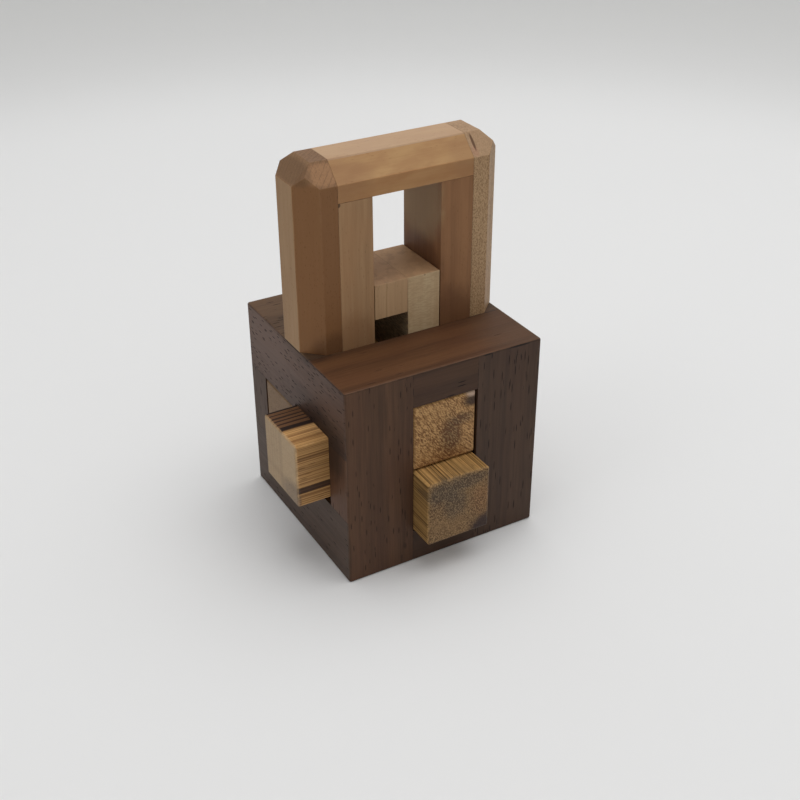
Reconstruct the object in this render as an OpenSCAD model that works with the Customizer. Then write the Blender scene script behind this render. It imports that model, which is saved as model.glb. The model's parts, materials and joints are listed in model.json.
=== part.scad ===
// Wooden puzzle box: a cubic box with a padlock-shaped shackle, four sliding sticks
// and a lifting key, all cut from one square grid of cells.
// Origin: centre of the box's bottom face. +Z up, -Y the side with the stacked sticks,
// -X the side with the two sticks side by side.

/* [Grid] */
// one wood thickness, the cell that every piece is cut from
cell = 9.525; // [8:0.025:13]

/* [Fit] */
// gap left on each side of a sliding piece
slide_gap = 0.12; // [0.08:0.01:0.3]
// how much higher the side windows are cut over the front stick than over the back one
front_head_rise = 1.75; // [0.5:0.05:2.2]
// side gap of the stacked sticks at the right of their window
stacked_side_gap = 0.45; // [0.1:0.05:1]

/* [Shackle] */
// how far the shackle stands above the box
shackle_rise = 49; // [40:0.1:70]
// bevel on the shackle's outer edges
shackle_bevel = 5.05; // [2:0.05:6]

/* [Rest position of the loose pieces] */
// how far the left front stick stands out of its window
left_stick_out = 9.15; // [0:0.025:9.525]
// how high the left front stick rides above the sill of its window
left_stick_lift = 2.2; // [0.1:0.1:2.5]
// how far the lower front stick stands out of its window
lower_stick_out = 7.6; // [0:0.05:9.5]
// how far the key stands up out of the box
key_up = 6.35; // [0:0.05:9.5]

/* [Edges] */
// small bevel on the edges of the sliding sticks
stick_ease = 0.6; // [0.2:0.1:1]

/* [Hidden] */
box = 6 * cell;               // outside size of the cubic box
half = box / 2;
wall = cell;                  // thickness of the box walls
c = slide_gap;
window_head = 4 * cell;       // top of the side windows over the back stick
front_head = window_head + front_head_rise; // top of the side windows over the front stick
leg_end = front_head + c;     // where the shackle's legs stop above the side sticks

// ---------- helpers ----------

// position across the box of grid line k, 0 at the left or front face, 6 at the far one
function across(k) = k * cell - half;

// plain block between two corners
module block(lo, hi) {
  translate(lo) cube([hi[0] - lo[0], hi[1] - lo[1], hi[2] - lo[2]]);
}

// rectangle from the origin with small cut corners
module eased_rect(w, h, e) {
  polygon([[e, 0], [w - e, 0], [w, e], [w, h - e], [w - e, h], [e, h], [0, h - e], [0, e]]);
}

// block between two corners with all its edges bevelled by e
module eased_block(lo, hi, e) {
  w = hi[0] - lo[0];
  d = hi[1] - lo[1];
  h = hi[2] - lo[2];
  translate(lo) intersection() {
    linear_extrude(h) eased_rect(w, d, e);
    translate([0, d, 0]) rotate([90, 0, 0]) linear_extrude(d) eased_rect(w, h, e);
    rotate([90, 0, 90]) linear_extrude(w) eased_rect(d, h, e);
  }
}

// section of a wall whose edges are mitred at 45 degrees
module mitre_section() {
  polygon([[-half, 0], [half, 0], [half - wall, wall], [wall - half, wall]]);
}

// one whole wall of the box, outer face down on z = 0, mitred along its four edges
module mitred_wall() {
  intersection() {
    translate([0, half, 0]) rotate([90, 0, 0]) linear_extrude(box) mitre_section();
    translate([-half, 0, 0]) rotate([90, 0, 90]) linear_extrude(box) mitre_section();
  }
}

// the part of a wall between a0..a1 across and b0..b1 up, measured from its centre
module board(a0, a1, b0, b1) {
  intersection() {
    mitred_wall();
    translate([a0, b0, -1]) cube([a1 - a0, b1 - b0, wall + 2]);
  }
}

// boards of each wall, given by their limits in the box frame
module front_board(x0, x1, z0, z1) {
  translate([0, -half, half]) rotate([90, 0, 180]) board(-x1, -x0, z0 - half, z1 - half);
}
module back_board(x0, x1, z0, z1) {
  translate([0, half, half]) rotate([90, 0, 0]) board(x0, x1, z0 - half, z1 - half);
}
module left_board(y0, y1, z0, z1) {
  translate([-half, 0, half]) rotate([90, 0, 90]) board(y0, y1, z0 - half, z1 - half);
}
module right_board(y0, y1, z0, z1) {
  translate([half, 0, half]) rotate([90, 0, -90]) board(-y1, -y0, z0 - half, z1 - half);
}
module top_board(x0, x1, y0, y1) {
  translate([0, 0, box]) rotate([180, 0, 0]) board(x0, x1, -y1, -y0);
}
module bottom_board(x0, x1, y0, y1) { board(x0, x1, y0, y1); }

// ---------- box walls ----------

dark = [0.30, 0.22, 0.18];
grey_brown = [0.36, 0.31, 0.29];
red_brown = [0.36, 0.23, 0.15];

module front_left_stile() color(dark) front_board(across(0), across(2), 0, box);
module front_right_stile() color(dark) front_board(across(4), across(6), 0, box);
module front_top_rail() color(dark) front_board(across(2), across(4), 5 * cell, box);
module front_bottom_rail() color(dark) front_board(across(2), across(4), 0, cell);

// the rails over the side windows are cut away a little over the front stick
module front_stick_relief(x0, x1) {
  block([x0, across(1), window_head - 1], [x1, across(3), front_head]);
}

module left_top_rail()
  color(grey_brown) difference() {
    left_board(across(0), across(6), window_head, box);
    front_stick_relief(-half - 1, wall - half + 1);
  }
module left_bottom_rail() color(grey_brown) left_board(across(0), across(6), 0, 2 * cell);
module left_front_stile()
  color(grey_brown) left_board(across(0), across(1), 2 * cell, window_head);
module left_back_stile()
  color(grey_brown) left_board(across(5), across(6), 2 * cell, window_head);

module back_left_stile() color(dark) back_board(across(0), across(2), 0, box);
module back_right_stile() color(dark) back_board(across(4), across(6), 0, box);
module back_top_rail() color(dark) back_board(across(2), across(4), 5 * cell, box);
module back_bottom_rail() color(dark) back_board(across(2), across(4), 0, cell);

module right_top_rail()
  color(grey_brown) difference() {
    right_board(across(0), across(6), window_head, box);
    front_stick_relief(half - wall - 1, half + 1);
  }
module right_bottom_rail() color(grey_brown) right_board(across(0), across(6), 0, 2 * cell);
module right_front_stile()
  color(grey_brown) right_board(across(0), across(1), 2 * cell, window_head);
module right_back_stile()
  color(grey_brown) right_board(across(5), across(6), 2 * cell, window_head);

// the top has a slot over the two middle cells for the shackle's legs and the key
module top_front_board() color(red_brown) top_board(across(0), across(6), across(0), across(2));
module top_back_board() color(red_brown) top_board(across(0), across(6), across(4), across(6));
module top_left_block() color(red_brown) top_board(across(0), across(1), across(2), across(4));
module top_right_block() color(red_brown) top_board(across(5), across(6), across(2), across(4));

module bottom_front_board() color(dark) bottom_board(across(0), across(6), across(0), across(3));
module bottom_back_board() color(dark) bottom_board(across(0), across(6), across(3), across(6));

// ---------- shackle ----------

glue_x = across(1) + c;       // glue line between the outer and inner legs, left side
leg_y = across(2) + c;        // front of the legs; the back is at -leg_y
inner_x = across(2) - c;      // inner face of the left leg; the right one is at -inner_x
shackle_top = box + shackle_rise;
beam_bottom = shackle_top - cell;

// outline of the whole shackle above the box, with its outer edges bevelled
module shackle_outline() {
  b = shackle_bevel;
  intersection() {
    translate([0, 0, box]) linear_extrude(shackle_rise)
      polygon([[-half + b, leg_y], [half - b, leg_y], [half, leg_y + b], [half, -leg_y - b],
               [half - b, -leg_y], [-half + b, -leg_y], [-half, -leg_y - b], [-half, leg_y + b]]);
    translate([0, -leg_y, 0]) rotate([90, 0, 0]) linear_extrude(-2 * leg_y)
      polygon([[-half, box], [half, box], [half, shackle_top - b], [half - b, shackle_top],
               [-half + b, shackle_top], [-half, shackle_top - b]]);
    translate([-half, 0, 0]) rotate([90, 0, 90]) linear_extrude(box)
      polygon([[leg_y, box], [-leg_y, box], [-leg_y, shackle_top - b],
               [-leg_y - b, shackle_top], [leg_y + b, shackle_top], [leg_y, shackle_top - b]]);
  }
}

module shackle_beam()
  color([0.66, 0.52, 0.37]) intersection() {
    shackle_outline();
    block([glue_x, leg_y - 1, beam_bottom], [-glue_x, 1 - leg_y, shackle_top + 1]);
  }
module shackle_left_outer_leg()
  color([0.47, 0.36, 0.26]) intersection() {
    shackle_outline();
    block([-half - 1, leg_y - 1, box], [glue_x, 1 - leg_y, shackle_top + 1]);
  }
module shackle_right_outer_leg()
  color([0.54, 0.44, 0.32]) intersection() {
    shackle_outline();
    block([-glue_x, leg_y - 1, box], [half + 1, 1 - leg_y, shackle_top + 1]);
  }
// the left inner leg carries a narrow tongue down to the floor of the box
module shackle_left_inner_leg()
  color([0.50, 0.38, 0.27]) union() {
    block([glue_x, leg_y, leg_end], [inner_x, -leg_y, beam_bottom]);
    block([glue_x, across(3) + c, cell + c], [inner_x, -leg_y, leg_end]);
  }
// block glued behind the foot of the tongue: it catches under the left back stick
module shackle_hook()
  color([0.50, 0.38, 0.27])
    block([glue_x, -leg_y, cell + c], [inner_x, across(5) - c, 2 * cell - c]);
module shackle_right_inner_leg()
  color([0.42, 0.28, 0.18]) block([-inner_x, leg_y, leg_end], [-glue_x, -leg_y, beam_bottom]);

// ---------- sliding sticks ----------

// left front stick: a bar across the box, drawn out to the left, notched in the middle
module left_front_stick() {
  z0 = 2 * cell + left_stick_lift;
  z1 = front_head - c;
  color([0.66, 0.50, 0.32]) translate([-left_stick_out, 0, 0]) difference() {
    eased_block([across(0), across(1) + c, z0], [across(6), across(3) - c, z1], stick_ease);
    block([across(2) - c, across(2) - c, z0 - 1], [across(5) + c, across(3) + 1, z1 + 1]);
    block([across(2) - c, across(1) - 1, 3 * cell - c], [across(5) + c, across(3) + 1, z1 + 1]);
  }
}
// left back stick: the same bar turned over, with a longer notch
module left_back_stick() {
  z0 = 2 * cell + c;
  z1 = window_head - c;
  color([0.60, 0.50, 0.38]) difference() {
    eased_block([across(0), across(3) + c, z0], [across(6), across(5) - c, z1], stick_ease);
    block([across(1) - c, across(3) - 1, z0 - 1], [across(5) + c, across(4) + c, z1 + 1]);
    block([across(1) - c, across(3) - 1, z0 - 1], [across(5) + c, across(5) + 1, 3 * cell + c]);
  }
}
// upper front stick: flush with the front, narrow bar along its top left edge
module front_upper_stick() {
  x1 = across(4) - stacked_side_gap;
  color([0.62, 0.50, 0.36]) difference() {
    eased_block([across(2) + c, across(0), 3 * cell + c], [x1, across(6), 5 * cell - c],
                stick_ease);
    block([across(1), across(1) - c, 2 * cell], [across(5), across(5) + c, 4 * cell + c]);
    block([across(3) - c, across(1) - c, 2 * cell], [across(5), across(5) + c, 6 * cell]);
  }
}
// lower front stick: pulled out to the front, with a low bar along its bottom
module front_lower_stick() {
  x1 = across(4) - stacked_side_gap;
  color([0.64, 0.50, 0.33]) translate([0, -lower_stick_out, 0]) difference() {
    eased_block([across(2) + c, across(0), cell + c], [x1, across(6), 3 * cell - c],
                stick_ease);
    block([across(1), across(1) - c, 2 * cell - c], [across(5), across(5) + c, 4 * cell]);
  }
}

// ---------- key ----------

key_x = across(3);            // glue line between the post and the two blocks beside it
module key_post()
  color([0.52, 0.47, 0.36]) translate([0, 0, key_up])
    block([key_x, leg_y, 2 * cell + c], [across(4) - c, -leg_y, 7 * cell]);
module key_cap()
  color([0.53, 0.43, 0.32]) translate([0, 0, key_up])
    block([across(2) + c, leg_y, 6 * cell], [key_x, -leg_y, 7 * cell]);
module key_foot()
  color([0.53, 0.43, 0.32]) translate([0, 0, key_up])
    block([across(2) + c, leg_y, 2 * cell + c], [key_x, -leg_y, 3 * cell - c]);

front_left_stile();
front_right_stile();
front_top_rail();
front_bottom_rail();
left_front_stile();
left_back_stile();
left_top_rail();
left_bottom_rail();
back_left_stile();
back_right_stile();
back_top_rail();
back_bottom_rail();
right_front_stile();
right_back_stile();
right_top_rail();
right_bottom_rail();
top_front_board();
top_back_board();
top_left_block();
top_right_block();
bottom_front_board();
bottom_back_board();
shackle_beam();
shackle_left_outer_leg();
shackle_left_inner_leg();
shackle_right_outer_leg();
shackle_right_inner_leg();
shackle_hook();
left_front_stick();
left_back_stick();
front_upper_stick();
front_lower_stick();
key_post();
key_cap();
key_foot();
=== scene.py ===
import json
import math
from collections import namedtuple

import bmesh
import bpy
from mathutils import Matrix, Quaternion, Vector


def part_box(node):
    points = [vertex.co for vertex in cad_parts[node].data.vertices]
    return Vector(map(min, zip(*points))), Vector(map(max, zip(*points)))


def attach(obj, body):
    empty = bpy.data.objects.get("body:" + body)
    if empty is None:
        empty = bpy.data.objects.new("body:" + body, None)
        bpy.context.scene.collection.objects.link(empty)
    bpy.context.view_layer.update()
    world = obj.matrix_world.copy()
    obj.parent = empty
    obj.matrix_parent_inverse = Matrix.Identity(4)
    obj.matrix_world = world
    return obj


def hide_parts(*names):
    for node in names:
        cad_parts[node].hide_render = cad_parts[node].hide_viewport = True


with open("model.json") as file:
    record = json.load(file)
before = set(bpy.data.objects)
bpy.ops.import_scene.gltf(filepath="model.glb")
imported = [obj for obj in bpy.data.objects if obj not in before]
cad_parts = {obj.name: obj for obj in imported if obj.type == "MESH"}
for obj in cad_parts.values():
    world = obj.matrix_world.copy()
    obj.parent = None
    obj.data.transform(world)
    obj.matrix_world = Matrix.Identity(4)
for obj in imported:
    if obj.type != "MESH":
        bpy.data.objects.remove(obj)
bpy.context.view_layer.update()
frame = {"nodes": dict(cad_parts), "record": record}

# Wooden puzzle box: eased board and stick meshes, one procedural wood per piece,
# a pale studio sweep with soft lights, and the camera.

MM = 0.001

# ------------------------------------------------------------------ sizes from the frame

GRID = 6                                # cells along each side of the box
MIDDLE = GRID / 2
CORNER_LOW, CORNER_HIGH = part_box("front_left_stile")
HALF = -CORNER_LOW.x                    # half the box's width
BOX_TOP = CORNER_HIGH.z
CELL = BOX_TOP / GRID
BEAM_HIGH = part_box("shackle_beam")[1]
SHACKLE_BEVEL = 0.53 * CELL             # how far the shackle's bevels cut into its faces
CAP_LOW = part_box("key_cap")[0]
POST_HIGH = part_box("key_post")[1]

# the whole box and the whole key, as blocks whose outer edges are lightened: partly wear, partly
# painted highlight. The key's block reaches down far out of sight, so that none of its lower
# edges are
BLOCKS = {"box": ((-HALF, -HALF, 0), (HALF, HALF, BOX_TOP)),
          "key": ((CAP_LOW.x, CAP_LOW.y, -BOX_TOP), tuple(POST_HIGH))}

BODY_OF = {node: body for body, nodes in frame["record"]["behaviour"]["bodies"].items()
           for node in nodes}


# ------------------------------------------------------------------ shader helpers

DISPLAY_MAX = 255                       # colours are given in 0..255 display values
MIX_A, MIX_B, MIX_RESULT = 6, 7, 2      # the colour sockets of a mix node


def srgb(red, green, blue):
    """A colour given in 0..255 display values, as linear RGBA."""
    def linear(value):
        value /= DISPLAY_MAX
        return value / 12.92 if value <= 0.04045 else ((value + 0.055) / 1.055) ** 2.4
    return (linear(red), linear(green), linear(blue), 1.0)


class Graph:
    """Short calls for building a shader tree. A value may be a number or a socket."""

    def __init__(self, tree):
        self.tree = tree

    def node(self, kind, **props):
        made = self.tree.nodes.new(kind)
        for name, value in props.items():
            setattr(made, name, value)
        return made

    def put(self, socket, value):
        if isinstance(value, bpy.types.NodeSocket):
            self.tree.links.new(value, socket)
        else:
            socket.default_value = value

    def math(self, operation, *values):
        made = self.node("ShaderNodeMath", operation=operation)
        for socket, value in zip(made.inputs, values):
            self.put(socket, value)
        return made.outputs[0]

    def add(self, a, b):
        return self.math("ADD", a, b)

    def times(self, a, b):
        return self.math("MULTIPLY", a, b)

    def opposite(self, value):
        """1 where the value is 0, and 0 where it is 1."""
        return self.math("SUBTRACT", 1.0, value)

    def vector(self, x, y, z):
        made = self.node("ShaderNodeCombineXYZ")
        for socket, value in zip(made.inputs, (x, y, z)):
            self.put(socket, value)
        return made.outputs[0]

    def split(self, vector):
        made = self.node("ShaderNodeSeparateXYZ")
        self.put(made.inputs[0], vector)
        return made.outputs[0], made.outputs[1], made.outputs[2]

    def ramp(self, value, low, high, smooth=True):
        """0 at low, 1 at high."""
        kind = "SMOOTHSTEP" if smooth else "LINEAR"
        made = self.node("ShaderNodeMapRange", interpolation_type=kind)
        self.put(made.inputs["Value"], value)
        self.put(made.inputs["From Min"], low)
        self.put(made.inputs["From Max"], high)
        return made.outputs["Result"]

    def any_noise(self, dimensions, socket, value, scale, detail, rough):
        made = self.node("ShaderNodeTexNoise", noise_dimensions=dimensions)
        self.put(made.inputs[socket], value)
        made.inputs["Scale"].default_value = scale
        made.inputs["Detail"].default_value = detail
        made.inputs["Roughness"].default_value = rough
        return made.outputs["Fac"]

    def noise(self, vector, detail, rough):
        return self.any_noise("3D", "Vector", vector, 1.0, detail, rough)

    def line_noise(self, value, scale, detail, rough):
        return self.any_noise("1D", "W", value, scale, detail, rough)

    def cells(self, vector):
        """Distance to the nearest cell centre, and one random number per cell."""
        made = self.node("ShaderNodeTexVoronoi", feature="F1")
        self.put(made.inputs["Vector"], vector)
        made.inputs["Scale"].default_value = 1.0
        red, _, _ = self.split(made.outputs["Color"])
        return made.outputs["Distance"], red

    def mix(self, amount, a, b, blend="MIX"):
        made = self.node("ShaderNodeMix", data_type="RGBA", blend_type=blend)
        self.put(made.inputs["Factor"], amount)
        self.put(made.inputs[MIX_A], a)
        self.put(made.inputs[MIX_B], b)
        return made.outputs[MIX_RESULT]

    def second_smallest(self, distances):
        """The second smallest of several distances: near zero only along an edge."""
        smallest = self.math("MINIMUM", distances[0], distances[1])
        second = self.math("MAXIMUM", distances[0], distances[1])
        for distance in distances[2:]:
            larger = self.math("MAXIMUM", smallest, distance)
            second = self.math("MINIMUM", second, larger)
            smallest = self.math("MINIMUM", smallest, distance)
        return second

    def block_edges(self, xyz, low, high):
        """Distance in mm to the nearest edge of the block between two corners."""
        distances = []
        for value, a, b in zip(xyz, low, high):
            middle = (a + b) / 2 / MM
            half = (b - a) / 2 / MM
            off = self.math("ABSOLUTE", self.add(value, -middle))
            distances.append(self.math("SUBTRACT", half, off))
        return self.second_smallest(distances)

    def shackle_edges(self, xyz):
        """Distance in mm to the nearest edge of the bevelled shackle."""
        x, y, z = xyz
        from_x = self.math("SUBTRACT", HALF / MM, self.math("ABSOLUTE", x))
        from_y = self.math("SUBTRACT", BEAM_HIGH.y / MM, self.math("ABSOLUTE", y))
        from_z = self.math("SUBTRACT", BEAM_HIGH.z / MM, z)
        planes = [from_x, from_y, from_z]
        for a, b in ((from_x, from_y), (from_x, from_z), (from_y, from_z)):
            past_bevel = self.add(self.add(a, b), -SHACKLE_BEVEL / MM)
            planes.append(self.times(past_bevel, math.sqrt(0.5)))
        return self.second_smallest(planes)


# ------------------------------------------------------------------ the wood

# the two axes across the grain and the one along it
AXES = {"X": (1, 2, 0), "Y": (0, 2, 1), "Z": (0, 1, 2)}

WOOD = dict(
    grain="X",                # axis the fibres run along
    light=(150, 120, 90),     # colour between the growth rings
    dark=(100, 75, 55),       # colour of the rings and streaks
    tint=(120, 80, 60),       # colour of the large patches
    tint_amount=0.3,          # strength of the patches
    patch=14.0,               # size of the patches, mm
    ring=1.6,                 # width of a ring, mm
    ring_amount=0.35,         # strength of the rings
    streak=3.0,               # width of the broad streaks, mm
    streak_amount=0.35,       # strength of the streaks
    contrast=(0.35, 0.68),    # where the streaks go from light to dark
    pith=(60.0, -35.0),       # where the tree's middle lies from the piece, mm
    waver=1.2,                # how far the rings wander, mm
    line=0.5,                 # width of the fine lines, mm
    line_amount=0.0,          # strength of the fine lines
    fibre=0.22,               # strength of the fibres
    fibre_wide=0.45,          # width of a fibre, mm
    pore=0.9,                 # distance between pores, mm
    pore_size=0.16,           # radius of a pore, as a share of that distance
    pore_long=11.0,           # how much longer a pore is than wide
    pore_share=0.5,           # share of places that have a pore
    pore_dark=0.5,            # strength of the pores
    pore_colour=(24, 16, 12),
    fleck=0.0,                # strength of the ray flecks
    fleck_size=(0.22, 0.85),  # across and along the grain, mm
    end=None,                 # colour of the end grain, None to leave it as the sides
    end_dark=None,            # colour of the speckles on it, None for the rings' colour
    end_show=0.35,            # how much of the streaks and stripes the end grain shows
    end_speckle=0.5,          # strength of the speckles
    end_pale=(190, 150, 100),  # colour of the light dots between them
    end_shine=0.0,            # strength of the light dots
    end_grain=0.45,           # size of the speckles, mm
    end_long=1.0,             # how much longer than wide they are
    end_slant=0.0,            # which way they lie, degrees
    end_ring=0.0,             # strength of the rings on the end grain
    sides=None,               # painted light and shade: brightness of the faces across X, Y and Z, for how the light falls on each
    bands=(),                 # stripes along the grain: see Stripe
    spots=(),                 # stained places: see Spot
    marks=(),                 # dark or pale places over the end grain's speckle
    rough=0.5,                # roughness of the surface
    gloss=0.35,               # strength of its reflections
    bump=0.25,                # depth of its relief
    edge=0.25,                # how much lighter the edges are: wear, and painted highlight on the rounding
    edge_width=0.5,           # width of the lightened band, mm
    edges="block",            # which edges are lightened: the piece's own, or a whole body's
    seam=0.3,                 # how much darker the glue lines are
)

# a stripe: the axis across it, its middle and half width on that axis, strength, colour, and
# the share of its half width over which it fades
Stripe = namedtuple("Stripe", "axis middle half amount colour fade")
# a stained place: its centre and radii, strength, colour, how ragged its rim is
Spot = namedtuple("Spot", "centre radii amount colour ragged")


def grid(x, y, z):
    """A point in the frame, mm, from grid lines counted from the box's front left foot."""
    unit = CELL / MM
    return ((x - MIDDLE) * unit, (y - MIDDLE) * unit, z * unit)


def cells_wide(*counts):
    """Lengths in mm from lengths in grid cells."""
    return tuple(count * CELL / MM for count in counts)


def stripe(axis, start, stop, amount, colour, fade=0.26):
    """A stripe between two grid lines."""
    offset = 0 if axis == "Z" else MIDDLE
    unit = CELL / MM
    return Stripe(axis, ((start + stop) / 2 - offset) * unit, (stop - start) / 2 * unit,
                  amount, colour, fade)


def spot(x, y, z, rx, ry, rz, amount, colour, ragged=0.45):
    """A stained place given on the grid."""
    return Spot(grid(x, y, z), cells_wide(rx, ry, rz), amount, colour, ragged)


# each piece is cut from another place in the wood: how far apart, mm, and how the place turns
# from one piece to the next, along the three directions of the wood's own space
CUT_FAR = (37.0, 41.0, 53.0)
CUT_TURN = (2.1, 3.7, 1.3)
STREAK_CUT, LINE_CUT = 17.0, 5.0        # the same for the streaks and the fine lines, mm

# detail and roughness of each noise
FIBRE_NOISE = (3.0, 0.6)
PATCH_NOISE = (3.0, 0.55)
RAGGED_NOISE = (3.0, 0.65)
UNEVEN_NOISE = (3.0, 0.6)
STREAK_NOISE = (4.0, 0.62)
LINE_NOISE = (1.0, 0.5)
SPECKLE_NOISE = (2.0, 0.6)
PLAIN_NOISE = (2.0, 0.5)
BEND_NOISE = (1.0, 0.5)
FLECK_NOISE = (1.5, 0.5)

# sizes of the noises across and along the grain, mm
RAGGED_SIZE = (2.4, 4.0)
WANDER_SIZE = (20.0, 45.0)
BEND_SIZE = (3.0, 3.6)
CROWD_SIZE = (5.0, 22.0)
SPECKLE_DEPTH = 3.0                     # length of an end-grain speckle along the fibres, mm
UNEVEN_SIZE = 2.0                       # size of the wear's own patches, mm
FIBRE_LONG = 30                         # how much longer than wide a fibre is
PATCH_LONG = 2.8                        # and a patch

# low and high end of each ramp, where a feature goes from nothing to full or back
END_TURN = (0.45, 0.85)                 # of a face that turns to the end of the fibres
PATCH_RAMP = (0.38, 0.66)               # the patches' noise
RING_START = (0.0, 0.12)                # the sharp side of a ring, in ring widths
LINE_RAMP = (0.36, 0.62)                # the fine lines' noise
SPECKLE_RAMP = (0.45, 0.57)             # the end grain's noise, for its dark speckles
SHINE_RAMP = (0.38, 0.50)               # the same noise, for its light dots
END_RING_RAMP = (0.4, 0.72)             # a ring's darkness, for the rings on the end grain
END_RING_GAPS = (0.34, 0.52)            # the ragged noise, where those rings break off
FLECK_RAMP = (0.45, 0.58)               # the ray flecks' noise
CROWD_RAMP = (0.28, 0.66)               # the noise that crowds the pores
EDGE_BAND_RAMP = (0.3, 0.75)                 # the uneven noise, for the width of the lightened band
EDGE_FADE_RAMP = (0.25, 1.0)                  # distance from a lightened edge, in widths of its band
SEAM_RAMP = (0.05, 0.22)                # distance from a piece's own edge, for glue lines, mm
SEAM_INSIDE = (0.3, 0.6)                # distance from a lightened edge where they begin, mm
SEAM_GAPS = (0.35, 0.6)                 # the uneven noise, where they fade away

RING_SHARP = 2.5                        # how steeply a ring darkens towards its dark side
LINE_MIDDLE = 0.4                       # share of a fine line's strength that lightens the wood
END_FIGURE = 0.8                        # strength of the figure in the end grain's colour
STRIPE_WANDER = 1.35                    # how much of the rings' wander a fading stripe shares
STRIPE_STRAY, MOST_STRAY = 3.5, 0.8     # roughness of a stripe's rim, in half widths and in mm
STRIPE_INSIDE = 0.75                    # share of a stripe's fading that lies inside its rim
SPOT_FULL, SPOT_GONE = 0.75, 1.08       # where a spot is full and gone, in radii
SPECKLE_BASE = 0.55                     # least strength of the speckles, away from the patches
BEND_FAR = 2.4                          # how far the ray flecks bend, mm
PORE_CORE = 0.6                         # share of a pore's radius that is full
CROWD_GAIN = 1.7                        # makes up for the places where the pores are few
EDGE_BAND_GAIN, LEAST_EDGE_BAND = 1.6, 0.05       # width of the lightened band: gain, and least value, mm
EDGE_LIGHT_GAIN, EDGE_LIGHT_LIFT = 1.12, 27         # a lightened edge's colour, from the wood's light colour: wear and painted highlight
GLUE_LINE = (20, 13, 9)

# relief: how high each feature stands, and the depth in metres that a height of 1 stands for
FIBRE_HIGH, SPECKLE_HIGH, FLECK_HIGH, PORE_HIGH, RING_HIGH = 0.25, -0.35, -0.3, -1.0, -0.2
RELIEF = 0.12 * MM
FIBRE_DULL, PORE_DULL = 0.16, 0.25      # roughness that fibres and pores add
MOST_ROUGH = 0.95


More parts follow.
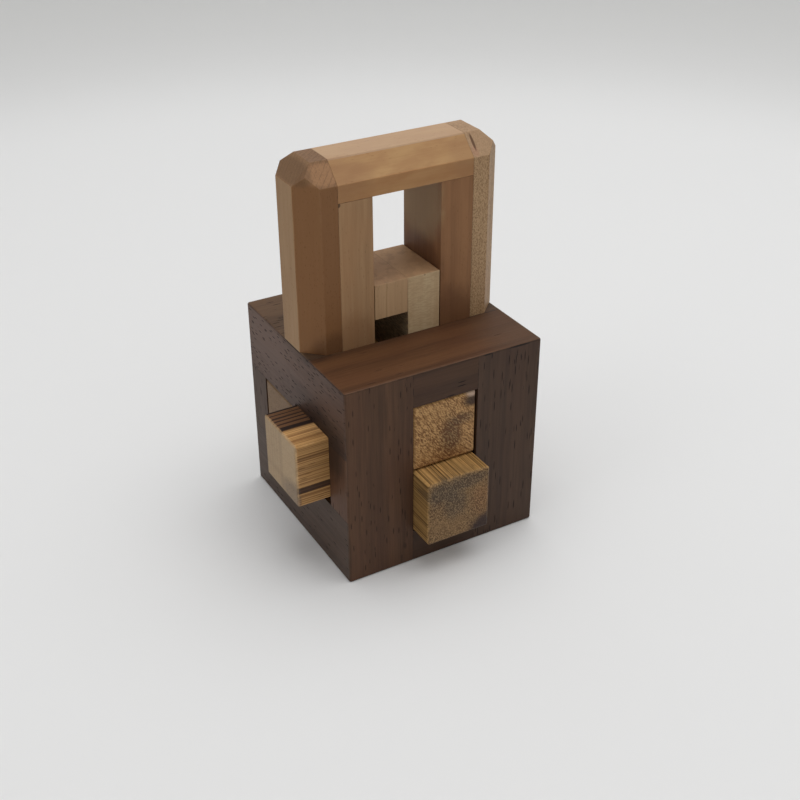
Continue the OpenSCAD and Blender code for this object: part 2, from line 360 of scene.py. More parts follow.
class WoodShader(Graph):
    """The shader tree of one piece's wood. Lengths are in mm."""

    def __init__(self, tree, node, seed, settings):
        super().__init__(tree)
        self.settings = settings
        self.seed = seed
        self.low, self.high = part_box(node)
        coords = self.node("ShaderNodeTexCoord")
        scaled = self.node("ShaderNodeVectorMath", operation="SCALE")
        self.put(scaled.inputs[0], coords.outputs["Object"])
        scaled.inputs["Scale"].default_value = 1 / MM
        self.xyz = self.split(scaled.outputs[0])
        self.normal = self.split(coords.outputs["Normal"])

        # the point in the wood's own space: two directions across the grain, and along it
        self.first, self.second, third = AXES[settings["grain"]]
        turns = [seed * turn for turn in CUT_TURN]
        self.u = self.add(self.xyz[self.first], CUT_FAR[0] * math.sin(turns[0]))
        self.v = self.add(self.xyz[self.second], CUT_FAR[1] * math.cos(turns[1]))
        self.along = self.add(self.xyz[third], CUT_FAR[2] * math.sin(turns[2]))

        # 1 where a face is turned towards the end of the fibres, 0 on the long faces
        self.end = self.ramp(self.math("ABSOLUTE", self.normal[third]), *END_TURN)
        self.side = self.opposite(self.end)

        # noises that several steps share: fibres, large patches, ragged rims, uneven wear
        thin = settings["fibre_wide"]
        wide = settings["patch"]
        self.fibre = self.noise(self.stretched(thin, thin * FIBRE_LONG), *FIBRE_NOISE)
        patch = self.noise(self.stretched(wide, wide * PATCH_LONG), *PATCH_NOISE)
        self.patch = self.ramp(patch, *PATCH_RAMP)
        self.ragged = self.noise(self.stretched(*RAGGED_SIZE), *RAGGED_NOISE)
        even = [self.times(value, 1 / UNEVEN_SIZE) for value in self.xyz]
        self.uneven = self.noise(self.vector(*even), *UNEVEN_NOISE)
        self.height = self.times(self.fibre, FIBRE_HIGH)

    def stretched(self, across, lengthways):
        """The wood's own point in units of a size across and a size along the grain."""
        return self.vector(self.times(self.u, 1 / across), self.times(self.v, 1 / across),
                           self.times(self.along, 1 / lengthways))

    def centred(self, noise, width):
        """A noise as a value round zero, of a given width."""
        return self.times(self.add(noise, -0.5), width)

    def paint(self, amount, colour):
        """Lays a colour over what is there."""
        self.colour = self.mix(amount, self.colour, srgb(*colour))

    def raise_by(self, value, amount):
        self.height = self.add(self.height, self.times(value, amount))

    def shown(self):
        """How much of the figure shows: all on the long faces, less on the end grain."""
        return self.add(self.side, self.times(self.end, self.settings["end_show"]))

    def grow(self):
        """Growth rings round the pith, wandering along the length, and the wood's own colour."""
        w = self.settings
        wander = self.noise(self.stretched(*WANDER_SIZE), *PLAIN_NOISE)
        self.wander = self.centred(wander, 2 * w["waver"])
        squares = []
        for axis, away in zip((self.first, self.second), w["pith"]):
            centre = (self.low[axis] + self.high[axis]) / 2 / MM
            off = self.add(self.xyz[axis], -(centre + away))
            squares.append(self.times(off, off))
        radius = self.add(self.math("SQRT", self.add(*squares)), self.wander)
        ring = self.math("FRACT", self.times(radius, 1 / w["ring"]))
        self.ring = self.times(self.math("POWER", ring, RING_SHARP),
                               self.ramp(self.opposite(ring), *RING_START))
        streak = self.line_noise(self.add(radius, self.seed * STREAK_CUT), 1 / w["streak"],
                                 *STREAK_NOISE)
        streak = self.ramp(streak, *w["contrast"])

        figure = self.add(self.times(streak, w["streak_amount"]),
                          self.times(self.ring, w["ring_amount"]))
        figure = self.add(figure, self.centred(self.fibre, 2 * w["fibre"]))
        if w["line_amount"]:
            lines = self.line_noise(self.add(radius, self.seed * LINE_CUT), 1 / w["line"],
                                    *LINE_NOISE)
            lines = self.add(self.ramp(lines, *LINE_RAMP), -LINE_MIDDLE)
            figure = self.add(figure, self.times(lines, w["line_amount"]))
        if w["end"]:
            figure = self.times(figure, self.shown())
        figure = self.math("MAXIMUM", self.math("MINIMUM", figure, 1.0), 0.0)
        self.colour = self.mix(figure, srgb(*w["light"]), srgb(*w["dark"]))
        self.paint(self.times(self.patch, w["tint_amount"]), w["tint"])
        if w["end"]:
            ends = self.mix(self.times(figure, END_FIGURE), srgb(*w["end"]), srgb(*w["dark"]))
            self.colour = self.mix(self.end, self.colour, ends)

    def draw_stripes(self):
        """Stripes that follow the grain, and fade on the end grain."""
        for band in self.settings["bands"]:
            across = self.xyz["XYZ".index(band.axis)]
            place = self.add(across, self.times(self.wander, STRIPE_WANDER * band.fade))
            off = self.math("ABSOLUTE", self.add(place, -band.middle))
            stray = min(band.half * STRIPE_STRAY * band.fade, MOST_STRAY)
            soft = self.add(off, self.centred(self.fibre, stray))
            full = band.half * (1 - STRIPE_INSIDE * band.fade)
            gone = band.half * (1 + (1 - STRIPE_INSIDE) * band.fade)
            inside = self.opposite(self.ramp(soft, full, gone))
            amount = self.times(self.shown(), band.amount)
            self.paint(self.times(inside, amount), band.colour)

    def draw_spots(self, spots):
        """Stained places that fade out over a ragged rim."""
        for mark in spots:
            total = 0.0
            for value, centre, radius in zip(self.xyz, mark.centre, mark.radii):
                off = self.times(self.add(value, -centre), 1 / radius)
                total = self.math("MULTIPLY_ADD", off, off, total)
            rim = self.centred(self.ragged, 2 * mark.ragged)
            distance = self.add(self.math("SQRT", total), rim)
            inside = self.opposite(self.ramp(distance, SPOT_FULL - mark.ragged, SPOT_GONE))
            self.paint(self.times(inside, mark.amount), mark.colour)

    def speckle_ends(self):
        """Dark speckles, light dots and rings on the end grain."""
        w = self.settings
        if not w["end"]:
            return
        slant = math.radians(w["end_slant"])
        down = self.add(self.times(self.u, math.cos(slant)), self.times(self.v, math.sin(slant)))
        over = self.add(self.times(self.v, math.cos(slant)), self.times(self.u, -math.sin(slant)))
        place = self.vector(self.times(down, 1 / (w["end_grain"] * w["end_long"])),
                            self.times(over, 1 / w["end_grain"]),
                            self.times(self.along, 1 / SPECKLE_DEPTH))
        grain = self.noise(place, *SPECKLE_NOISE)
        speckle = self.times(self.ramp(grain, *SPECKLE_RAMP), self.end)
        by_patch = self.add(SPECKLE_BASE, self.times(self.patch, 1 - SPECKLE_BASE))
        speckle = self.times(speckle, by_patch)
        shine = self.times(self.opposite(self.ramp(grain, *SHINE_RAMP)), self.end)
        dark = w["end_dark"] or w["dark"]
        if w["end_ring"]:
            rings = self.times(self.ramp(self.ring, *END_RING_RAMP),
                               self.ramp(self.ragged, *END_RING_GAPS))
            self.paint(self.times(self.times(rings, self.end), w["end_ring"]), dark)
        self.paint(self.times(speckle, w["end_speckle"]), dark)
        self.paint(self.times(shine, w["end_shine"]), w["end_pale"])
        self.raise_by(speckle, SPECKLE_HIGH)

    def draw_flecks(self):
        """Short ray flecks on the long faces."""
        w = self.settings
        if not w["fleck"]:
            return
        bend = self.times(self.noise(self.stretched(*BEND_SIZE), *BEND_NOISE), BEND_FAR)
        across, lengthways = w["fleck_size"]
        place = self.vector(self.times(self.add(self.u, bend), 1 / across),
                            self.times(self.add(self.v, bend), 1 / across),
                            self.times(self.along, 1 / lengthways))
        fleck = self.ramp(self.noise(place, *FLECK_NOISE), *FLECK_RAMP)
        fleck = self.times(fleck, self.side)
        self.paint(self.times(fleck, w["fleck"]), w["dark"])
        self.raise_by(fleck, FLECK_HIGH)

    def sink_pores(self):
        """Pores in loose groups: dashes on the long faces, dots on the end grain."""
        w = self.settings
        distance, chance = self.cells(self.stretched(w["pore"], w["pore"] * w["pore_long"]))
        crowd = self.noise(self.stretched(*CROWD_SIZE), *PLAIN_NOISE)
        crowd = self.ramp(crowd, *CROWD_RAMP, smooth=False)
        share = self.times(crowd, CROWD_GAIN * w["pore_share"])
        pore = self.opposite(self.ramp(distance, w["pore_size"] * PORE_CORE, w["pore_size"]))
        self.pore = self.times(pore, self.math("LESS_THAN", chance, share))
        self.paint(self.times(self.pore, w["pore_dark"]), w["pore_colour"])
        self.raise_by(self.pore, PORE_HIGH)
        self.raise_by(self.ring, RING_HIGH)

    def shade_sides(self):
        """Painted light and shade: faces across X, Y and Z get their own brightness, for how the
        light falls on them.
        """
        if not self.settings["sides"]:
            return
        shade = 0.0
        for value, amount in zip(self.normal, self.settings["sides"]):
            shade = self.math("MULTIPLY_ADD", self.times(value, value), amount, shade)
        grey = self.node("ShaderNodeCombineColor")
        for socket in grey.inputs:
            self.put(socket, shade)
        self.colour = self.mix(1.0, self.colour, grey.outputs[0], "MULTIPLY")

    def wear_and_edge_light(self):
        """Lighter edges, partly wear and partly painted highlight where the rounding catches the
        light, and thin dark glue lines where pieces meet.
        """
        w = self.settings
        own = self.block_edges(self.xyz, self.low, self.high)
        if w["edges"] == "shackle":
            lit_worn_edge = self.shackle_edges(self.xyz)
        elif w["edges"] in BLOCKS:
            lit_worn_edge = self.block_edges(self.xyz, *BLOCKS[w["edges"]])
        else:
            lit_worn_edge = own
        width = self.times(self.ramp(self.uneven, *EDGE_BAND_RAMP), w["edge_width"] * EDGE_BAND_GAIN)
        off_edge = self.math("DIVIDE", lit_worn_edge, self.add(width, LEAST_EDGE_BAND))
        off_edge = self.ramp(off_edge, *EDGE_FADE_RAMP)
        pale = [min(DISPLAY_MAX, value * EDGE_LIGHT_GAIN + EDGE_LIGHT_LIFT) for value in w["light"]]
        self.paint(self.times(self.opposite(off_edge), w["edge"]), pale)
        if w["seam"] and w["edges"] != "block":
            meets = self.opposite(self.ramp(own, *SEAM_RAMP))
            meets = self.times(meets, self.ramp(lit_worn_edge, *SEAM_INSIDE))
            meets = self.times(meets, self.ramp(self.uneven, *SEAM_GAPS))
            self.paint(self.times(meets, w["seam"]), GLUE_LINE)

    def finish(self, shader):
        """Joins the colour to a satin surface, duller in the pores and along the fibres."""
        w = self.settings
        self.put(shader.inputs["Base Color"], self.colour)
        rough = self.add(w["rough"] - FIBRE_DULL / 2, self.times(self.fibre, FIBRE_DULL))
        rough = self.add(rough, self.times(self.pore, PORE_DULL))
        self.put(shader.inputs["Roughness"], self.math("MINIMUM", rough, MOST_ROUGH))
        shader.inputs["Specular IOR Level"].default_value = w["gloss"]
        bump = self.node("ShaderNodeBump")
        bump.inputs["Strength"].default_value = w["bump"]
        bump.inputs["Distance"].default_value = RELIEF
        self.put(bump.inputs["Height"], self.height)
        self.put(shader.inputs["Normal"], bump.outputs[0])


def wood(name, node, seed, **changes):
    """A procedural wood for one piece, with its fibres along one axis of the frame."""
    material = bpy.data.materials.new(name)
    material.use_nodes = True
    shader = WoodShader(material.node_tree, node, seed, {**WOOD, **changes})
    shader.grow()
    shader.draw_stripes()
    shader.draw_spots(shader.settings["spots"])
    shader.speckle_ends()
    shader.draw_spots(shader.settings["marks"])
    shader.draw_flecks()
    shader.sink_pores()
    shader.shade_sides()
    shader.wear_and_edge_light()
    shader.finish(material.node_tree.nodes["Principled BSDF"])
    return material


# ------------------------------------------------------------------ woods of the pieces

def dark_board(**changes):
    """Oiled dark hardwood with open pores: the box."""
    base = dict(light=(76, 56, 42), dark=(50, 35, 27), tint=(74, 46, 36), tint_amount=0.35,
                patch=16.0, ring=2.3, ring_amount=0.18, streak=3.2, streak_amount=0.50,
                fibre=0.62, fibre_wide=0.45, pore=0.8, pore_size=0.24, pore_long=8.0,
                pore_share=0.45, pore_dark=0.75, pore_colour=(22, 15, 12),
                end=(62, 46, 38), end_dark=(40, 29, 24), edges="box", seam=0.55,
                edge=0.08, edge_width=0.55, rough=0.52, gloss=0.22, bump=0.4)
    return {**base, **changes}


def fine_board(**changes):
    """Close-grained tan hardwood: the shackle and the key."""
    base = dict(light=(176, 140, 102), dark=(140, 104, 70), tint=(160, 118, 80),
                tint_amount=0.35, patch=9.0, ring=1.9, ring_amount=0.12, streak=2.6,
                streak_amount=0.40, fibre=0.34, fibre_wide=0.5, pore=0.55, pore_size=0.22,
                pore_long=4.0, pore_share=0.4, pore_dark=0.14, end=(132, 104, 78),
                end_dark=(104, 78, 56), end_speckle=0.35, edges="shackle", edge=0.04,
                edge_width=0.25, seam=0.12, rough=0.55, gloss=0.25, bump=0.15)
    return {**base, **changes}


def striped_stick(**changes):
    """Golden wood with brown stripes and speckled end grain: the sticks."""
    base = dict(light=(196, 150, 92), dark=(118, 78, 38), tint=(170, 124, 66),
                tint_amount=0.35, patch=8.0, ring=0.9, ring_amount=0.15, streak=1.5,
                streak_amount=0.55, contrast=(0.40, 0.60), waver=0.5, line=0.42,
                line_amount=0.55, fibre=0.30, fibre_wide=0.35, pore=0.8, pore_size=0.2,
                pore_long=8.0, pore_share=0.4, pore_dark=0.35, end=(168, 140, 106),
                end_dark=(118, 86, 56), edge=0.22, edge_width=0.5, seam=0.0, rough=0.55,
                gloss=0.25, bump=0.35)
    return {**base, **changes}


TOP = BEAM_HIGH.z / CELL                # the shackle's top, in cells

# colours of stripes, stains and cracks; the crack colour also darkens the top-edge band as
# painted shade
FOOT_STAIN = (78, 46, 28)
OLIVE = (154, 127, 90)
BLACK_STRIPE = (28, 15, 11)
BROWN_STRIPE = (79, 49, 32)
GREY_STAIN = (78, 68, 54)
CRACK_AND_SHADE = (18, 12, 9)

# the band along the box's top edge: a joint line, and painted shade that dulls the light on the
# edge's rounding; and the painted shadow round the foot of the shackle's left leg
TOP_JOINT_AND_SHADE = stripe("Z", 5.955, 6.0, 0.3, CRACK_AND_SHADE, 0.1)
FOOT_SHADE = spot(0.30, 2.16, 6.0, 0.55, 0.42, 0.3, 0.5, (44, 29, 22), 0.3)

WOODS = {
    "front_left_stile": dark_board(
        grain="Z", pith=(-40, 90), light=(88, 61, 42), dark=(56, 39, 27), tint=(78, 49, 36),
        pore=0.6, pore_share=0.5, pore_size=0.27, pore_long=8.0, pore_dark=0.72,
        bands=(TOP_JOINT_AND_SHADE,)),
    "front_right_stile": dark_board(
        grain="Z", pith=(50, 90), light=(76, 55, 41), dark=(48, 35, 27), tint=(66, 45, 35),
        streak=2.2, streak_amount=0.4, pore=0.65, pore_share=0.55, pore_size=0.28,
        pore_long=10.0, bands=(TOP_JOINT_AND_SHADE,),
        spots=(spot(4.28, 0, 5.97, 0.14, 0.4, 0.035, 0.9, CRACK_AND_SHADE, 0.1),
               spot(4.41, 0, 5.89, 0.022, 0.3, 0.10, 0.9, CRACK_AND_SHADE, 0.1),
               spot(5.30, 0, 5.955, 0.45, 0.4, 0.03, 0.8, CRACK_AND_SHADE, 0.3))),
    "front_top_rail": dark_board(
        grain="X", light=(75, 52, 36), dark=(52, 36, 25), pore_share=0.08,
        bands=(TOP_JOINT_AND_SHADE,)),
    "front_bottom_rail": dark_board(grain="X", light=(64, 47, 34), dark=(43, 31, 23)),
    "left_top_rail": dark_board(
        grain="Y", pith=(70, 40), light=(86, 61, 47), dark=(61, 44, 35), tint=(70, 49, 39),
        pore=0.62, pore_size=0.28, pore_long=6.0, pore_share=0.8, pore_dark=0.85, edge=0.15,
        bands=(TOP_JOINT_AND_SHADE._replace(amount=0.6),),
        # painted shadow of the front left stick on the rail beside the window, and a painted
        # sheen over the rail's back part
        spots=(spot(0, 1.2, 4.1, 1, 1.6, 0.8, 0.85, (40, 27, 22), 0.3),
               spot(0, 4.8, 5.3, 1, 2.6, 1.4, 0.55, (106, 82, 70)), FOOT_SHADE)),
    "left_bottom_rail": dark_board(
        grain="Y", pith=(70, -40), light=(82, 63, 51), dark=(58, 45, 36), tint=(67, 51, 42),
        pore=0.75, pore_size=0.25, pore_long=6.0, pore_share=0.5, pore_dark=0.8),
    "left_front_stile": dark_board(
        grain="Z", light=(97, 67, 47), dark=(67, 45, 31),
        # painted shadow of the front left stick
        spots=(spot(0, 0.9, 3.9, 1, 0.9, 1.1, 0.8, (40, 27, 21), 0.3),)),
    "left_back_stile": dark_board(grain="Z", light=(76, 57, 40), dark=(54, 40, 28)),
    "back_left_stile": dark_board(grain="Z", pith=(-50, -80)),
    "back_right_stile": dark_board(grain="Z", pith=(40, -90)),
    "back_top_rail": dark_board(grain="X"),
    "back_bottom_rail": dark_board(grain="X"),
    "right_top_rail": dark_board(grain="Y", pith=(-70, 40)),
    "right_bottom_rail": dark_board(grain="Y", pith=(-70, -30)),
    "right_front_stile": dark_board(grain="Z"),
    "right_back_stile": dark_board(grain="Z"),
    "top_front_board": dark_board(
        grain="X", pith=(25, 90), light=(98, 65, 40), dark=(64, 41, 26), tint=(82, 49, 32),
        ring_amount=0.2, streak=2.0, streak_amount=0.5, pore_share=0.12, pore_dark=0.4,
        spots=(spot(5.7, 1.0, 6, 1.5, 2.5, 1, 0.6, (87, 63, 45)), FOOT_SHADE)),
    "top_back_board": dark_board(
        grain="X", pith=(-20, 90), light=(107, 81, 57), dark=(74, 54, 38), tint=(86, 62, 46)),
    "top_left_block": dark_board(
        grain="X", light=(105, 80, 58), dark=(70, 53, 40), tint=(86, 62, 46), seam=0.3,
        spots=(FOOT_SHADE,)),
    "top_right_block": dark_board(grain="X", light=(92, 72, 56), dark=(64, 49, 39)),
    "bottom_front_board": dark_board(grain="X", pith=(20, -80)),
    "bottom_back_board": dark_board(grain="X", pith=(-20, -80)),
    "shackle_beam": fine_board(
        grain="X", pith=(40, -90), light=(192, 151, 102), dark=(160, 117, 72),
        tint=(168, 122, 80), tint_amount=0.6, patch=3.6, streak_amount=0.2, ring_amount=0.06,
        # painted shade: the front face darker, the top a little darker than the ends
        sides=(1, 0.80, 0.96),
        # painted shade on the front face alone, darker and more orange; painted sheen, a paler
        # and greyer band, on the top face
        bands=(stripe("Y", 1.95, 2.03, 0.35, (176, 118, 70), 0.1),
               stripe("Z", TOP - 0.03, TOP + 0.04, 0.7, (190, 160, 132), 0.1)),
        spots=(spot(1.0, 2.1, TOP - 0.4, 1.3, 0.7, 0.9, 0.55, (160, 117, 80), 0.3),
               spot(5.0, 2.1, TOP - 0.4, 0.9, 0.7, 0.9, 0.45, (160, 117, 80), 0.3))),
    "shackle_left_outer_leg": fine_board(
        grain="Z", pith=(-60, 70), light=(156, 123, 86), dark=(128, 95, 62),
        tint=(138, 104, 72), end=(132, 100, 72), streak_amount=0.2, pore_dark=0.22,
        end_ring=0.6, end_dark=(84, 58, 38), ring=1.1, pore=0.4, pore_share=0.9,
        # painted shade: the front face and the front bevel darker than the lit left face
        bands=(stripe("Y", 1.5, 2.535, 0.80, (121, 79, 43), 0.03),
               stripe("Y", 1.9, 2.02, 0.12, (96, 60, 34), 0.1)),
        spots=(spot(0.75, 2.24, TOP - 0.24, 0.6, 0.36, 0.34, 0.9, (156, 116, 80), 0.04),
               spot(0.2, 3.0, TOP - 0.25, 0.34, 1.3, 0.36, 0.55, (104, 76, 50), 0.04),
               # painted shade at the foot of the leg, where it meets the box
               spot(0.8, 2.0, 5.9, 0.8, 0.6, 0.8, 0.4, (70, 43, 26), 0.15))),
    "shackle_left_inner_leg": fine_board(
        grain="Z", pith=(30, 80), light=(160, 126, 91), dark=(124, 92, 62),
        spots=(spot(1.03, 2, TOP - 1.04, 0.05, 0.3, 0.07, 0.8, (60, 40, 26), 0.1),
               spot(1.4, 2.0, 6.0, 0.9, 0.9, 1.2, 0.3, (110, 72, 44), 0.2))),
    "shackle_right_outer_leg": fine_board(
        grain="Z", pith=(70, 60), light=(176, 144, 107), dark=(104, 76, 50), fleck=0.55,
        fleck_size=(0.22, 0.6), streak_amount=0.15, end=(174, 142, 110),
        spots=(spot(5.10, 2.14, TOP - 0.40, 0.14, 0.18, 0.22, 0.6, (172, 128, 102), 0.3),),
        marks=(spot(5.13, 2.30, TOP - 0.20, 0.045, 0.30, 0.28, 0.85, (84, 52, 30), 0.1),)),
    "shackle_right_inner_leg": fine_board(
        grain="Z", pith=(-30, 80), light=(142, 101, 66), dark=(102, 67, 41), tint=(116, 75, 45),
        streak=1.6, streak_amount=0.3, line_amount=0.12,
        spots=(spot(4.3, 2, 5.7, 1.2, 1.2, 1.7, 0.55, (86, 54, 34), 0.2),
               spot(4.0, 3.2, 9.5, 0.3, 1.4, 1.5, 0.8, OLIVE, 0.2),
               spot(4.0, 3.0, 7.6, 0.25, 1.3, 0.9, 0.5, FOOT_STAIN, 0.2))),
    "shackle_hook": fine_board(grain="Y", edges="block"),
    "left_front_stick": striped_stick(
        grain="X", pith=(60, 80), light=(206, 160, 104), dark=(112, 74, 44), line=0.26,
        line_amount=0.75, end_show=0.10, end=(172, 147, 114), end_dark=(150, 125, 95),
        # painted light and shade: the top face lighter, the front face darker
        sides=(1.0, 0.86, 1.16), end_speckle=0.3,
        bands=(stripe("Y", 1.84, 3.1, 0.85, (86, 55, 37)),
               stripe("Y", 1.88, 2.08, 0.95, BLACK_STRIPE, 0.5),
               stripe("Y", 2.19, 2.26, 0.85, BLACK_STRIPE, 0.5),
               stripe("Y", 2.36, 2.42, 0.9, BLACK_STRIPE, 0.5),
               stripe("Y", 2.51, 2.59, 0.85, BLACK_STRIPE, 0.5),
               stripe("Y", 2.68, 2.74, 0.9, BLACK_STRIPE, 0.5),
               stripe("Y", 2.84, 2.97, 0.95, BLACK_STRIPE, 0.4),
               stripe("Z", 2.66, 2.86, 0.92, (50, 32, 24), 0.35),
               stripe("Z", 2.73, 2.77, 0.6, (92, 62, 42), 0.4),
               stripe("Z", 3.36, 3.42, 0.45, BROWN_STRIPE),
               stripe("Z", 3.72, 3.77, 0.45, BROWN_STRIPE)),
        marks=(spot(-0.96, 1.15, 2.45, 0.12, 1.0, 0.62, 0.5, (92, 80, 74), 0.3),)),
    "left_back_stick": striped_stick(
        grain="X", light=(150, 124, 94), dark=(112, 86, 60), streak_amount=0.4, line_amount=0.2,
        end=(124, 97, 68), end_dark=(94, 70, 47)),
    "front_upper_stick": striped_stick(
        grain="Y", pith=(52, 40), end=(170, 130, 82), end_dark=(94, 56, 27), end_speckle=0.8,
        end_shine=0.40, end_pale=(208, 167, 112), end_long=2.6, end_slant=-50,
        end_grain=0.30, end_ring=0.9, ring=1.7, waver=2.0, end_show=0.12,
        spots=(spot(3.16, 0, 3.80, 0.40, 2, 0.80, 0.88, (80, 60, 42), 0.35),
               spot(3.50, 0, 4.22, 0.52, 2, 0.24, 0.85, (78, 58, 41), 0.35),
               spot(2.9, 0, 3.0, 1.1, 2, 0.6, 0.4, (130, 82, 42))),
        marks=(spot(3.86, 0, 4.74, 0.38, 2, 0.26, 0.9, (46, 31, 24), 0.4),
               spot(3.84, 0, 4.97, 0.30, 1, 0.17, 0.85, (186, 160, 140), 0.3))),
    "front_lower_stick": striped_stick(
        grain="Y", pith=(-50, 70), light=(206, 160, 98), dark=(92, 64, 30), tint=(166, 128, 74),
        line=0.28, line_amount=0.8, end=(127, 98, 63), end_dark=(64, 43, 27), end_speckle=0.75,
        end_shine=0.32, end_pale=(176, 142, 101), end_long=1.6, end_slant=-70,
        # painted shade: the faces across X, such as the left side, darker than the rest
        end_grain=0.30, end_show=0.10, sides=(0.64, 1.0, 0.97),
        spots=(spot(2.55, -0.8, 2.6, 0.75, 1, 0.50, 0.88, GREY_STAIN, 0.35),
               spot(3.3, -0.8, 2.78, 0.7, 1, 0.30, 0.75, GREY_STAIN, 0.35),
               spot(2.85, -0.8, 2.1, 0.5, 1, 0.55, 0.7, GREY_STAIN, 0.35),
               spot(3.7, -0.8, 2.0, 0.45, 1, 0.7, 0.35, (146, 96, 54))),
        marks=(spot(4.02, -0.8, 0.98, 0.80, 1, 0.64, 0.9, (44, 29, 29), 0.12),)),
    "key_post": fine_board(
        grain="Z", edges="key", light=(190, 167, 132), dark=(165, 139, 105), end=(182, 145, 108),
        streak_amount=0.2, fibre=0.15, fleck=0.5, fleck_size=(1.6, 0.3),
        end_dark=(144, 112, 82), end_speckle=0.4, end_grain=2.6,
        # painted shade: the dark inside of the hole, painted on the post's inner face
        spots=(spot(2.95, 3.0, 5.8, 0.08, 3.0, 2.0, 0.75, (60, 46, 33), 0.02),
               spot(3.52, 2.0, 7.64, 0.035, 0.05, 0.03, 0.6, (90, 66, 44), 0.1),)),
    "key_cap": fine_board(
        grain="Z", edges="key", light=(178, 145, 109), dark=(141, 109, 78), ring_amount=0.3,
        streak_amount=0.25, pith=(2, -26), ring=3.0, end=(180, 143, 107),
        end_dark=(142, 110, 80), end_speckle=0.45, end_grain=2.6,
        bands=(stripe("X", 2.33, 2.37, 0.38, (122, 90, 60), 0.6),)),
    "key_foot": fine_board(grain="Z", edges="block"),
}


# ------------------------------------------------------------------ meshes

WELD = 1e-6                # points closer than this are one, metres
FLAT_ANGLE = 1             # faces closer than this are one flat face, degrees
CUT_ANGLE = 60             # an edge as sharp as this is a cut or a joint, degrees
BEVEL_ANGLE = 25           # an edge as sharp as this borders a bevel, degrees
BOX_EASE = 0.60 * MM       # rounding of the box's outer edges
BOX_SEGMENTS = 4
NORMAL_WEIGHT = 80         # how much larger faces lead the shading, percent

# rounding of each body's pieces: which edges, how wide, in how many segments
SHACKLE_EASE = (BEVEL_ANGLE, 0.10 * MM, 2)
EASES = {"box": (CUT_ANGLE, 0.07 * MM, 2), "shackle": SHACKLE_EASE, "key": SHACKLE_EASE}
STICK_EASE = (BEVEL_ANGLE, 0.22 * MM, 3)


def clean_copy(node):
    """A welded copy of a CAD node's mesh with its flat faces whole."""
    mesh = bmesh.new()
    mesh.from_mesh(frame["nodes"][node].data)
    bmesh.ops.remove_doubles(mesh, verts=mesh.verts, dist=WELD)
    bmesh.ops.dissolve_limit(mesh, angle_limit=math.radians(FLAT_ANGLE), verts=mesh.verts,
                             edges=mesh.edges)
    return mesh


def as_object(mesh, name):
    data = bpy.data.meshes.new(name)
    mesh.to_mesh(data)
    mesh.free()
    made = bpy.data.objects.new(name, data)
    bpy.context.scene.collection.objects.link(made)
    return made


def rounded_box():
    """The whole box as one block with rounded outer edges, to trim the boards with."""
    mesh = bmesh.new()
    bmesh.ops.create_cube(mesh, size=1.0)
    for vertex in mesh.verts:
        vertex.co = Vector((vertex.co.x * 2 * HALF, vertex.co.y * 2 * HALF,
                            (vertex.co.z + 0.5) * BOX_TOP))
    bmesh.ops.bevel(mesh, geom=mesh.edges[:], offset=BOX_EASE, segments=BOX_SEGMENTS,
                    profile=0.5, affect="EDGES")
    return as_object(mesh, "trim")


def is_sharp(edge, least):
    if len(edge.link_faces) != 2:
        return False
    return edge.calc_face_angle() > math.radians(least)


def on_box_corner(edge):
    """True where an edge lies along one of the box's outer edges."""
    middle = (edge.verts[0].co + edge.verts[1].co) / 2
    gaps = sorted((HALF - abs(middle.x), HALF - abs(middle.y),
                   BOX_TOP / 2 - abs(middle.z - BOX_TOP / 2)))
    return gaps[1] < 2 * BOX_EASE


def ease(made, least, width, segments, skip=None):
    """Rounds the sharp edges of a piece."""
    mesh = bmesh.new()
    mesh.from_mesh(made.data)
    edges = [e for e in mesh.edges if is_sharp(e, least) and not (skip and skip(e))]
    bmesh.ops.bevel(mesh, geom=edges, offset=width, segments=segments, profile=0.5,
                    affect="EDGES", clamp_overlap=True)
    mesh.to_mesh(made.data)
    mesh.free()


def trim(made, cutter):
    """Keeps what lies inside the cutter."""
    modifier = made.modifiers.new("trim", "BOOLEAN")
    modifier.operation = "INTERSECT"
    modifier.solver = "EXACT"
    modifier.object = cutter
    depsgraph = bpy.context.evaluated_depsgraph_get()
    data = bpy.data.meshes.new_from_object(made.evaluated_get(depsgraph))
    made.modifiers.remove(modifier)
    made.data = data


def smooth_shading(made):
    """Shades the rounded edges smoothly, but not across a cut such as a mitre."""
    mesh = bmesh.new()
    mesh.from_mesh(made.data)
    for edge in mesh.edges:
        edge.smooth = not is_sharp(edge, CUT_ANGLE)
    for face in mesh.faces:
        face.smooth = True
    mesh.to_mesh(made.data)
    mesh.free()
    modifier = made.modifiers.new("weighted", "WEIGHTED_NORMAL")
    modifier.keep_sharp = True
    modifier.weight = NORMAL_WEIGHT


def build_piece(node, cutter):
    """The detailed piece that stands for one CAD node."""
    made = as_object(clean_copy(node), node + "_wood")
    body = BODY_OF[node]
    skip = None
    if body == "box":
        trim(made, cutter)
        skip = on_box_corner
    ease(made, *EASES.get(body, STICK_EASE), skip=skip)
    smooth_shading(made)
    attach(made, body)
    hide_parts(node)
    return made


whole_box = rounded_box()
for number, (node, settings) in enumerate(WOODS.items(), 1):
    piece = build_piece(node, whole_box)
    piece.data.materials.clear()
    piece.data.materials.append(wood(node + "_wood", node, number, **settings))
bpy.data.objects.remove(whole_box)


# ------------------------------------------------------------------ studio

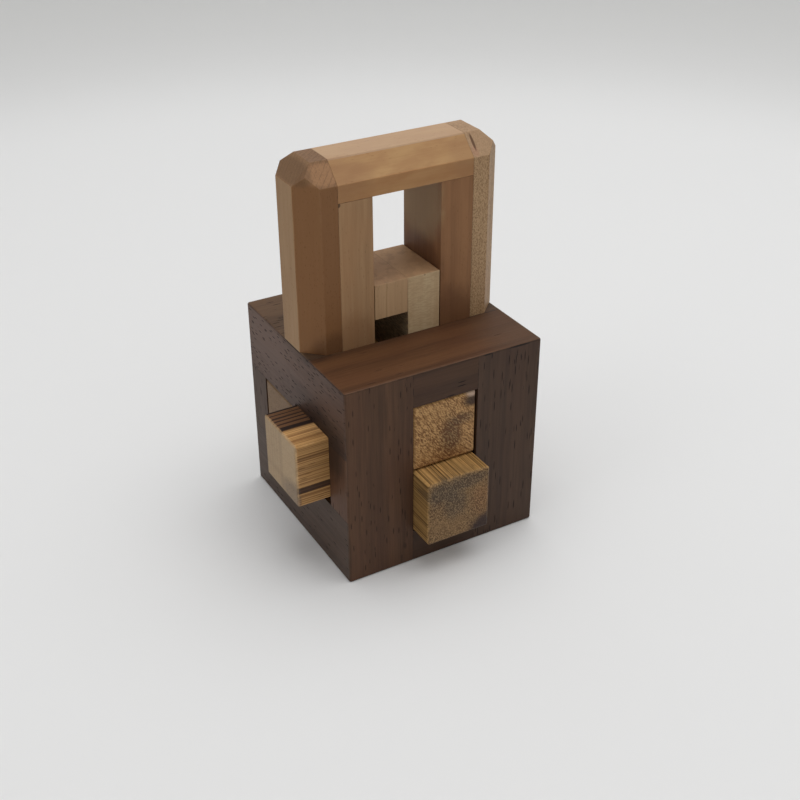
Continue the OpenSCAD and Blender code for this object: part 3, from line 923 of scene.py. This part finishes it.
PAPER_NEAR = (237, 237, 236)            # the paper's colour round the object
PAPER_SHADED_FAR = (204, 204, 202)             # and far from it, darker: painted shade where the light falls off
PAPER_FADE = (0.33, 0.62)               # where it goes from one to the other, metres
PAPER_ROUGH, PAPER_GLOSS = 0.9, 0.1     # its roughness, and the strength of its reflections
FLOOR = 0.44                            # radius of the flat part, metres
BEND, BEND_ANGLE = 0.30, 84             # radius of the bend, metres, and how far it goes, degrees
RIM_LEAN, RIM_RISE = 0.02, 0.20         # the last stretch, outward and up, metres
BEND_STEPS, ROUND_STEPS = 14, 96        # faces along the bend, and all round
SKY = (0.95, 0.95, 0.97, 1.0)           # linear RGBA
SKY_STRENGTH = 0.53


def paper():
    """Pale paper, a little darker away from the object: painted shade where the light falls off.
    """
    material = bpy.data.materials.new("sweep_paper")
    material.use_nodes = True
    shader = material.node_tree.nodes["Principled BSDF"]
    graph = Graph(material.node_tree)
    coords = graph.node("ShaderNodeTexCoord")
    length = graph.node("ShaderNodeVectorMath", operation="LENGTH")
    graph.put(length.inputs[0], coords.outputs["Object"])
    away = graph.ramp(length.outputs["Value"], *PAPER_FADE)
    colour = graph.mix(away, srgb(*PAPER_NEAR), srgb(*PAPER_SHADED_FAR))
    graph.put(shader.inputs["Base Color"], colour)
    shader.inputs["Roughness"].default_value = PAPER_ROUGH
    shader.inputs["Specular IOR Level"].default_value = PAPER_GLOSS
    return material


def sweep():
    """A pale floor that curves up all round."""
    profile = [(FLOOR / 2, 0.0), (FLOOR, 0.0)]
    for step in range(1, BEND_STEPS + 1):
        angle = math.radians(BEND_ANGLE) * step / BEND_STEPS
        profile.append((FLOOR + BEND * math.sin(angle), BEND * (1 - math.cos(angle))))
    rim_radius, rim_height = profile[-1]
    profile.append((rim_radius + RIM_LEAN, rim_height + RIM_RISE))
    mesh = bmesh.new()
    angles = [2 * math.pi * step / ROUND_STEPS for step in range(ROUND_STEPS)]
    rings = [[mesh.verts.new((radius * math.cos(angle), radius * math.sin(angle), height))
              for angle in angles] for radius, height in profile]
    middle = mesh.verts.new((0, 0, 0))
    for here in range(ROUND_STEPS):
        mesh.faces.new((middle, rings[0][here], rings[0][(here + 1) % ROUND_STEPS]))
    for inner, outer in zip(rings, rings[1:]):
        for here in range(ROUND_STEPS):
            there = (here + 1) % ROUND_STEPS
            mesh.faces.new((inner[here], outer[here], outer[there], inner[there]))
    for face in mesh.faces:
        face.smooth = True
    made = as_object(mesh, "sweep")
    made.data.materials.append(paper())


def area_light(name, place, target, size, power):
    """A round soft light: places and size in metres, power in watts."""
    data = bpy.data.lights.new(name, "AREA")
    data.shape = "DISK"
    data.size = size
    data.energy = power
    made = bpy.data.objects.new(name, data)
    bpy.context.scene.collection.objects.link(made)
    made.location = place
    made.rotation_euler = (Vector(target) - Vector(place)).to_track_quat("-Z", "Y").to_euler()


sweep()
area_light("overhead", place=(0.17, 0.01, 0.95), target=(0, 0, 0.03), size=1.0, power=4.6)
area_light("left_fill", place=(-0.95, -0.10, 0.75), target=(0, 0, 0.05), size=0.6, power=1.0)

world = bpy.data.worlds.new("studio")
world.use_nodes = True
background = world.node_tree.nodes["Background"]
background.inputs["Color"].default_value = SKY
background.inputs["Strength"].default_value = SKY_STRENGTH
bpy.context.scene.world = world
bpy.context.scene.view_settings.view_transform = "Standard"

# ------------------------------------------------------------------ camera

LENS = 55.07                            # mm
SENSOR = 36.0                           # width, mm
NEAREST = 10 * MM                       # nothing closer than this is drawn
AIM = Vector((0.325, 0.032, 3.275)) * CELL
DISTANCE = 35.5 * CELL                  # from the point aimed at
AZIMUTH, ELEVATION, ROLL = -29.60, 31.03, -0.26     # degrees

camera_data = bpy.data.cameras.new("camera")
camera_data.lens = LENS
camera_data.sensor_width = SENSOR
camera_data.clip_start = NEAREST
camera = bpy.data.objects.new("camera", camera_data)
bpy.context.scene.collection.objects.link(camera)
turn = math.radians(AZIMUTH)
tilt = math.radians(ELEVATION)
back = Vector((math.sin(turn) * math.cos(tilt), -math.cos(turn) * math.cos(tilt), math.sin(tilt)))
camera.location = AIM + back * DISTANCE
camera.rotation_mode = "QUATERNION"
level = (-back).to_track_quat("-Z", "Y")
camera.rotation_quaternion = Quaternion(back, math.radians(ROLL)) @ level
bpy.context.scene.camera = camera
